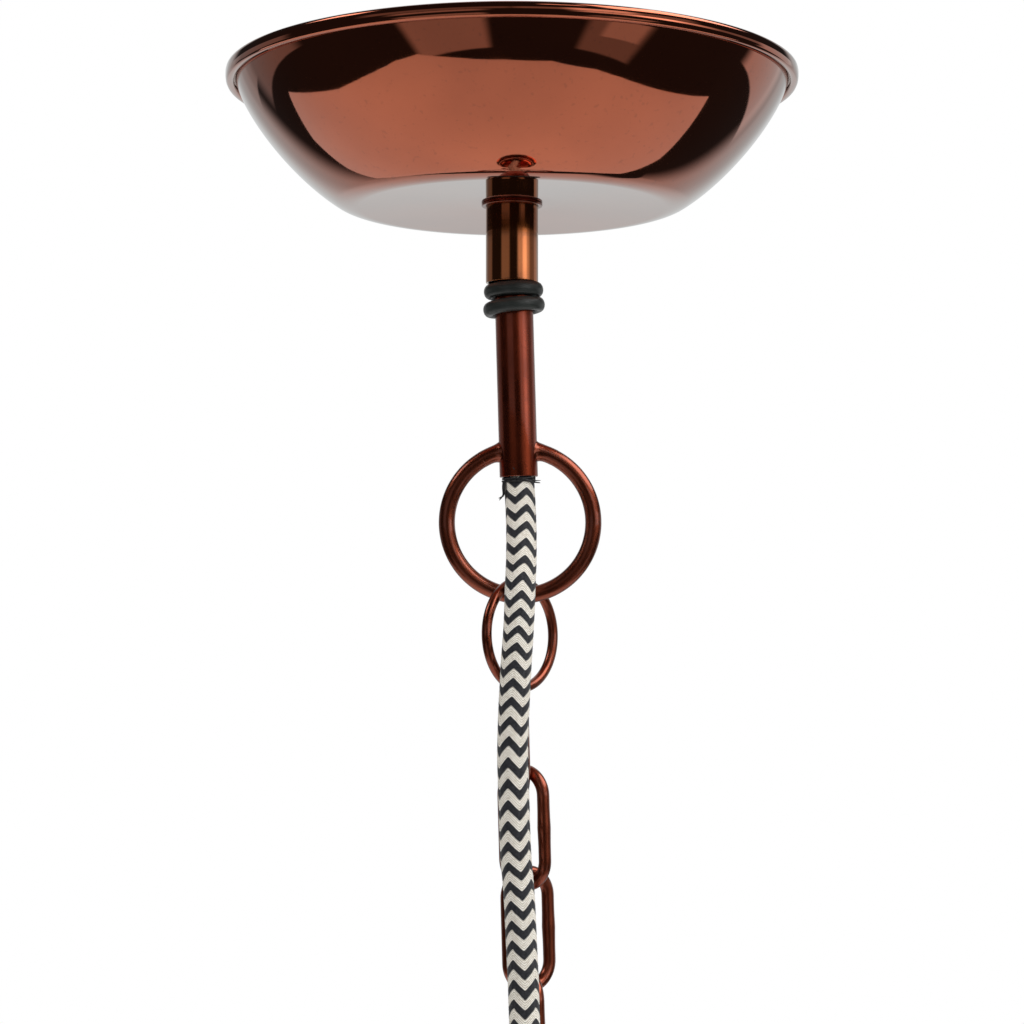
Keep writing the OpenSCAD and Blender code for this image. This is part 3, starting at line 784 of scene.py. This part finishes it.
# Frayed tails of the whipping: half the thickness, then the way it runs; heights are from the tube's mouth
WHIPPING_TAILS = [
    (0.3, [(-3.1, -1.5, -0.8), (-3.3, -1.7, -2), (-3.3, -1.9, -3.2), (-3.4, -2.2, -4), (-4.3, -2.4, -4.5)]),
    (0.24, [(-3, -1.8, -1), (-3.1, -2.1, -2.2), (-3, -2.4, -3.4), (-2.9, -2.7, -4.2)]),
    (0.16, [(-3.3, -2, -3.6), (-3.7, -2.2, -4.3), (-4.2, -2.2, -4.9)]),
    (0.28, [(0.6, -3.4, -0.6), (2, -3, -1), (3.2, -2.2, -1.3), (4.4, -2.2, -1.5)]),
    (0.14, [(-1.6, -3.2, -0.3), (-0.8, -3.6, 1), (-1.2, -4.25, 1.8)]),
    (0.14, [(2.6, -2.6, -0.9), (3.6, -2.3, -1), (4.5, -2.4, -1)]),
]


def make_whipping():
    """Turns of waxed thread laid on the flex at the tube's mouth, with frayed tails."""
    turns, around, thread, pitch = 2, 48, 0.22, 0.5
    points = []
    for i in range(turns * around + 1):
        a = TURN * i / around
        z = STEM_END + 0.05 - pitch * i / around + 0.22 * math.sin(a + 0.8)
        r = FLEX_R + 0.2 + 0.22 * noise.noise(Vector((a * 0.9, 3, 0)))
        points.append(Vector((r * math.cos(a), r * math.sin(a), z)))
    parts = [sweep(points, thread, 12)]
    for thick, route in WHIPPING_TAILS:
        path = smooth_path([(x, y, STEM_END + z) for x, y, z in route], 0.2)
        parts.append(sweep(path, lambda t, a, r=thick: r * (1 - 0.75 * t * t), 10))
    to_object("whipping_thread", joined(parts), "black_thread", "stem", "flex_whipping")


# ---- small ring, links, eye ----

def make_small_ring():
    wire = sweep(arc(SMALL_RING_R, 90, 450, 144)[:-1], SMALL_WIRE_R, 32, closed=True)
    place = HANG @ Matrix.Translation((CHAIN_X, 0, SMALL_RING_Z)) @ turned(SMALL_RING_TURN)
    to_object("small_ring_wire", wire, "copper_wire", "small_ring", "small_ring", place)


def link_path():
    steps, rungs = 28, 10
    straight = LINK_HALF - LINK_END_R
    top = arc(LINK_END_R, 0, 180, steps, (0, 0, straight))
    low = arc(LINK_END_R, 180, 360, steps, (0, 0, -straight))
    left = [top[-1].lerp(low[0], i / rungs) for i in range(1, rungs)]
    right = [low[-1].lerp(top[0], i / rungs) for i in range(1, rungs)]
    return top + left + low + right


def make_links():
    path = link_path()
    count = len(path)

    def radius(t, a):
        # a slight swelling where the link was closed by a weld, half-way down its right side
        away = abs(t * count - (count - 5))
        return LINK_WIRE_R + 0.1 * max(0, 1 - away / 2.5)

    for i, (x, z, turn) in enumerate(zip(LINK_X, LINK_Z, LINK_TURNS)):
        place = HANG @ Matrix.Translation((x, 0, z)) @ turned(turn)
        name = f"link_{i + 1}"
        wire = sweep(path, radius, 32, closed=True)
        to_object(name + "_wire", wire, "copper_wire", name, name, place)


# ---- flex ----

# The threads in one cream and one black band together
BRAID_THREADS = 8
THREAD_RIDGE = 0.05
CREASE_DEPTH = 0.07
ZIGZAGS = 4
ZIGZAG_RISE = 0.55
# How the braid lies: height, length of one cream and one black band, and turn of the zigzag's peak
BRAID_LAY = [
    (-20, 3.815, 66), (-84, 3.815, 31), (-95, 3.91, 22), (-103, 3.84, 14), (-112, 3.47, 5),
    (-122, 3.48, -6), (-132, 3.86, -11), (-144, 4.32, -18), (-152, 4.26, -23), (-163, 3.99, -30),
    (-187, 3.96, -38), (-200, 3.96, -45), (-232, 3.9, -62),
]
# Each stretch of the flex, the bodies it hangs between and where it ends
FLEX_CUTS = [
    ("flex_in_stem", "stem", None, -96),
    ("flex_by_ring", "stem", "small_ring", -118),
    ("flex_by_link_1", "small_ring", "link_1", -138),
    ("flex_by_link_2", "link_1", "link_2", -158),
    ("flex_by_link_3", "link_2", "link_3", -179),
    ("flex_by_link_4", "link_3", "link_4", -200),
    ("flex_to_holder", "link_4", "lampholder", -231.3),
]


def braid_lay(height):
    """Band length, and turn of the zigzag in radians, at a height."""
    for (top, pitch_a, turn_a), (low, pitch_b, turn_b) in zip(BRAID_LAY, BRAID_LAY[1:]):
        if height >= low:
            t = (height - top) / (low - top)
            return pitch_a + (pitch_b - pitch_a) * t, math.radians(turn_a + (turn_b - turn_a) * t)
    return BRAID_LAY[-1][1], math.radians(BRAID_LAY[-1][2])


def zigzag(angle):
    """Height of the zigzag, in bands, at an angle round the flex from a peak. Its corners are blunt."""
    blunt = 0.985
    return ZIGZAG_RISE * (0.5 + 0.5 * math.asin(blunt * math.cos(angle * ZIGZAGS)) / math.asin(blunt))


def braided(path, bands, turns, rows):
    """A stretch of the flex, with a low ridge for each thread: its (verts, faces), and its UVs."""
    sides = 96
    verts = []
    for i in rows:
        tangent = (path[min(i + 1, len(path) - 1)] - path[max(i - 1, 0)]).normalized()
        front = (Vector((0, -1, 0)) + tangent * tangent.y).normalized()
        right = (Vector((1, 0, 0)) - tangent * tangent.x).normalized()
        for k in range(sides):
            a = TURN * k / sides
            thread = math.cos(TURN * (bands[i] + zigzag(a - turns[i])) * BRAID_THREADS)
            crease = max(0, abs(math.cos((a - turns[i]) * ZIGZAGS)) - 0.9) / 0.1
            r = FLEX_R - 0.06 + THREAD_RIDGE * thread - CREASE_DEPTH * crease
            verts.append(path[i] + front * (r * math.cos(a)) + right * (r * math.sin(a)))
    uvs = []
    for i in rows[:-1]:
        for k in range(sides):
            corners = []
            for row, q in ((i, k), (i, k + 1), (i + 1, k + 1), (i + 1, k)):
                corners.append((q / sides, bands[row] + zigzag(TURN * q / sides - turns[row])))
            uvs.append(corners)
    cap = [(0, 0)] * sides
    return (verts, skin(len(rows), sides, False)), uvs + [cap, cap]


def nearest(path, z):
    """Index of the path's point that is nearest in height."""
    return min(range(len(path)), key=lambda i: abs(path[i].z - z))


def make_flex():
    """The braid runs on from stretch to stretch. The top stretch rides on the stem; each other one, which
    hangs between two bodies, is left on none, its place baked in.
    """
    path = smooth_path(FLEX_ROUTE, 0.2)
    bands, turns = [0], [braid_lay(path[0].z)[1]]
    for a, b in zip(path, path[1:]):
        pitch, turn = braid_lay(b.z)
        bands.append(bands[-1] + (b - a).length / pitch)
        turns.append(turn)
    start = 0
    for node, upper, lower, low_z in FLEX_CUTS:
        end = nearest(path, low_z)
        part, uvs = braided(path, bands, turns, range(start, end + 1))
        obj = to_object(node + "_braid", part, "braid", None if lower else upper, node, sharp=60, uvs=uvs)
        if lower:
            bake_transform(obj)
        start = end


# ---- lampholder ----

def helix(pitch, depth):
    """A thread for lathe: depth in millimetres, crest to middle."""
    return lambda z, a: depth * math.cos(TURN * (z / pitch + a / TURN))


def make_hanging_eye():
    eye = sweep(arc(EYE_R, -90, 270, 120)[:-1], LINK_WIRE_R, 32, closed=True)
    eye = moved(eye, Matrix.Translation((0, 0, EYE_Z)) @ turned(EYE_TURN))
    z = CAP_TOP
    neck = [
        (0.3, z - 6), (1.7, z - 6), (2, z - 5.6), (2, z), (4, z), (4, z + 1), (3.6, z + 1.4),
        (2.6, z + 1.5), (2.05, z + 1.9), (1.95, z + 2.6), (2.2, z + 3.2), (2.5, z + 3.9), (1.2, z + 4.3),
        (0.3, z + 4.3),
    ]
    forged = joined([eye, lathe(fillet(neck, 0.15), 64)])
    to_object("hanging_eye_forged", forged, "copper_wire", "lampholder", "hanging_eye", HOLDER_AXIS)


def make_holder_cap():
    """Domed cap with a beaded rim where the body screws in."""
    r, low, bore, steps = HOLDER_R, BODY_TOP, 2.1, 16
    angles = [TURN / 4 * i / steps for i in range(steps + 1)]

    def dome(radius):
        """The rounded corner between the cap's side and its top."""
        centre_r, centre_z = r - CAP_CORNER, CAP_TOP - CAP_CORNER
        return [(centre_r + radius * math.cos(a), centre_z + radius * math.sin(a)) for a in angles]

    bead = [(r, low), (r + 0.25, low + 0.3), (r + 0.35, low + 0.8), (r + 0.25, low + 1.3), (r, low + 1.6)]
    outside = bead + dome(CAP_CORNER) + [(bore, CAP_TOP)]
    inside = [(bore, CAP_TOP - HOLDER_WALL)] + dome(CAP_CORNER - HOLDER_WALL)[::-1]
    inside.append((r - HOLDER_WALL, low))
    cap = lathe(outside + inside, 160)
    to_object("holder_cap_spun", cap, "copper_dish", "lampholder", "holder_cap", HOLDER_AXIS, sharp=50)


def make_cord_grip():
    """Strain relief with three grooves in its cone."""
    z = CAP_TOP
    bore = FLEX_R + 0.15
    profile = [(bore, z - 3.2), (3.8, z - 3.2), (4, z - 2.9), (4, z), (5.5, z), (5.5, z + 1.3)]
    profile += [(5.2, z + 1.6), (4.5, z + 1.6)]
    for i in range(3):
        low = z + 2 + i * 1.1
        r = 4.4 - 0.15 * i
        profile += [(r, low), (r - 0.35, low + 0.25), (r - 0.35, low + 0.5), (r - 0.05, low + 0.75)]
    profile += [(3.85, z + 5.5), (bore, z + 5.6)]
    place = HANG @ Matrix.Translation((*GRIP, 0))
    grip = lathe(profile, 72)
    to_object("cord_grip_grooved", grip, "black_plastic", "lampholder", "cord_grip", place, sharp=35)


def make_holder_body():
    """Upper barrel, shoulder and threaded skirt with a rolled mouth."""
    r, wall, end, shoulder = HOLDER_R, HOLDER_WALL, BODY_END, BODY_END + SKIRT_LEN
    thread_low, thread_high, run_out, depth = end + 2.2, shoulder - 1.5, 1.5, 0.3
    cut = helix(2.5, depth)

    def wave(at_r, z, a):
        fade = min(1, (z - thread_low) / run_out, (thread_high - z) / run_out)
        return (cut(z, a) - depth) * fade if at_r == SKIRT_R and fade > 0 else 0

    outside = [(SKIRT_R - wall, end + 0.5), (SKIRT_R - 0.9, end), (SKIRT_R - 0.3, end + 0.2)]
    outside += [(SKIRT_R - 0.1, end + 0.8)] + upright(SKIRT_R, thread_low, thread_high, 0.25)
    outside += [(SKIRT_R + 0.05, shoulder - 0.6), (SKIRT_R + 0.3, shoulder), (r - 0.5, shoulder)]
    outside += [(r - 0.12, shoulder + 0.15), (r, shoulder + 0.5)]
    for groove in (3.5, 6.0):
        z = shoulder + groove
        outside += [(r, z - 0.4), (r - 0.25, z - 0.15), (r - 0.25, z + 0.15), (r, z + 0.4)]
    outside += [(r, BODY_TOP - 0.1), (r - 0.1, BODY_TOP)]
    inside = [(r - wall, BODY_TOP), (r - wall, shoulder + 1.5), (SKIRT_R - wall, shoulder + 1.4)]
    body = lathe(outside + inside, 160, wave)
    to_object("holder_body_threaded", body, "copper_dish", "lampholder", "holder_body", HOLDER_AXIS)


def make_screw_shell():
    """Rolled brass thread for the lamp."""
    top = BODY_TOP - INSERT_T
    low = top - SHELL_LEN
    wall, run_out = 0.5, 3
    cut = helix(3.6, 0.4)

    def wave(at_r, z, a):
        return cut(z, a) * max(0, min(1, (z - low) / run_out, (top - z) / run_out))

    outside = upright(SHELL_R + wall, low, top, 0.35)
    shell = lathe(outside + upright(SHELL_R, low, top, 0.35)[::-1], 120, wave)
    to_object("screw_shell_rolled", shell, "brass", "lampholder", "screw_shell", HOLDER_AXIS, sharp=50)


def make_shade_ring():
    """Ring nut with a ribbed skirt and a clamping flange."""
    low = BODY_END + RING_NUT_GAP
    high = low + RING_NUT_H
    r, bore, flange, rib = RING_NUT_R, 17.2, 26, 1.2

    def wave(at_r, z, a):
        fade = min(1, (z - low) / 1.2)
        ribs = rib * max(0, math.cos(RING_NUT_RIBS * a)) ** 0.6
        return ribs * fade if abs(at_r - r) < 0.01 else 0

    profile = [(bore, low), (r - 0.6, low), (r - 0.2, low + 0.2)] + upright(r, low + 0.5, high - 0.1, 0.6)
    profile += [(r + 0.3, high), (flange - 0.4, high), (flange, high + 0.3), (flange, high + 1.1)]
    profile += [(flange - 0.3, high + 1.4), (bore + 0.4, high + 1.4), (bore, high + 1.1)]
    nut = lathe(profile, 288, wave)
    to_object("shade_ring_ribbed", nut, "copper_dish", "shade_ring", "shade_ring", HOLDER_AXIS, sharp=50)


# ---- ceiling hardware and cores ----

def make_ceiling_hook():
    z = -PLATE_T - HOOK_DROP
    shank_gap, shank_step = 0.05, 1.3
    path = [Vector((0, -HOOK_R, -shank_gap - shank_step * i)) for i in range(6)]
    path += [Vector((0, p.x, p.z)) for p in arc(HOOK_R, 180, 360, 48, (0, 0, z))]
    path += [Vector((0, HOOK_R, z + HOOK_TIP * t)) for t in (0.5, 1)]

    def radius(t, a):
        return HOOK_WIRE_R * min(1, 0.6 + 14 * (1 - t))

    place = Matrix.Translation((PIVOT_X, 0, 0))
    hook = sweep(path, radius, 32, normal=Vector((1, 0, 0)))
    to_object("ceiling_hook_bent", hook, "zinc_steel", "ceiling", "ceiling_hook", place, sharp=60)


def make_stirrup():
    low = COLLAR_TOP - COLLAR_H
    collar = [(STEM_R, low), (COLLAR_R, low), (COLLAR_R, low + 1.6), (COLLAR_R - 0.5, low + 2)]
    collar += [(COLLAR_R, low + 2.4), (COLLAR_R, COLLAR_TOP), (STEM_R, COLLAR_TOP)]
    top = BAIL_TOP - BAIL_R
    legs = [Vector((BAIL_R, 0, COLLAR_TOP + (top - COLLAR_TOP) * t)) for t in (0, 0.5)]
    bail = legs + arc(BAIL_R, 0, 180, 40, (0, 0, top)) + [Vector((-p.x, 0, p.z)) for p in legs[::-1]]
    stirrup = joined([lathe(fillet(collar, 0.25), 64), sweep(bail, BAIL_WIRE_R, 24)])
    to_object("stirrup_bent_wire", stirrup, "zinc_steel", "stem", "stem_stirrup")


def make_cores():
    """Each core runs between the terminal, which stays on the ceiling, and the stem. It rides on no body;
    its place is baked in.
    """
    for node, colour in CORE_COLOURS.items():
        path = smooth_path(CORE_ROUTES[node], 0.5)[::-1]
        core = sweep(path, CORE_R, 20, normal=Vector((1, 0, 0)))
        obj = to_object(node + "_insulated", core, colour, None, node, LEVEL)
        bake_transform(obj)


# ---- finishes on the CAD nodes that stay ----

CAD_FINISHES = {
    "ceiling_plate": "zinc_steel", "terminal_body": "block_plastic", "terminal_inserts": "brass",
    "terminal_screws": "zinc_steel", "earth_screw": "brass", "sleeve_nut": "zinc_steel",
    "eye_nut": "zinc_steel", "holder_cores": "core_brown", "holder_insert": "porcelain",
    "centre_contact": "brass", "holder_screws": "brass",
}


def finish_cad_nodes():
    for name, finish in CAD_FINISHES.items():
        obj = NODES[name]
        for slot in obj.material_slots:
            slot.link = "OBJECT"
            slot.material = material(finish)


make_camera()
make_world()
make_floor()
area_light("key", (-0.9, -0.9, 0.5), (0, 0, -0.1), (0.8, 0.8), 12)
area_light("fill", (1.1, -0.5, -0.1), (0, 0, -0.12), (0.5, 0.9), 6)
make_canopy()
make_sleeve()
make_stem()
make_o_rings()
make_big_ring()
make_welds()
make_whipping()
make_small_ring()
make_links()
make_flex()
make_hanging_eye()
make_holder_cap()
make_cord_grip()
make_holder_body()
make_screw_shell()
make_shade_ring()
make_ceiling_hook()
make_stirrup()
make_cores()
finish_cad_nodes()
bpy.context.scene.view_settings.view_transform = "Standard"
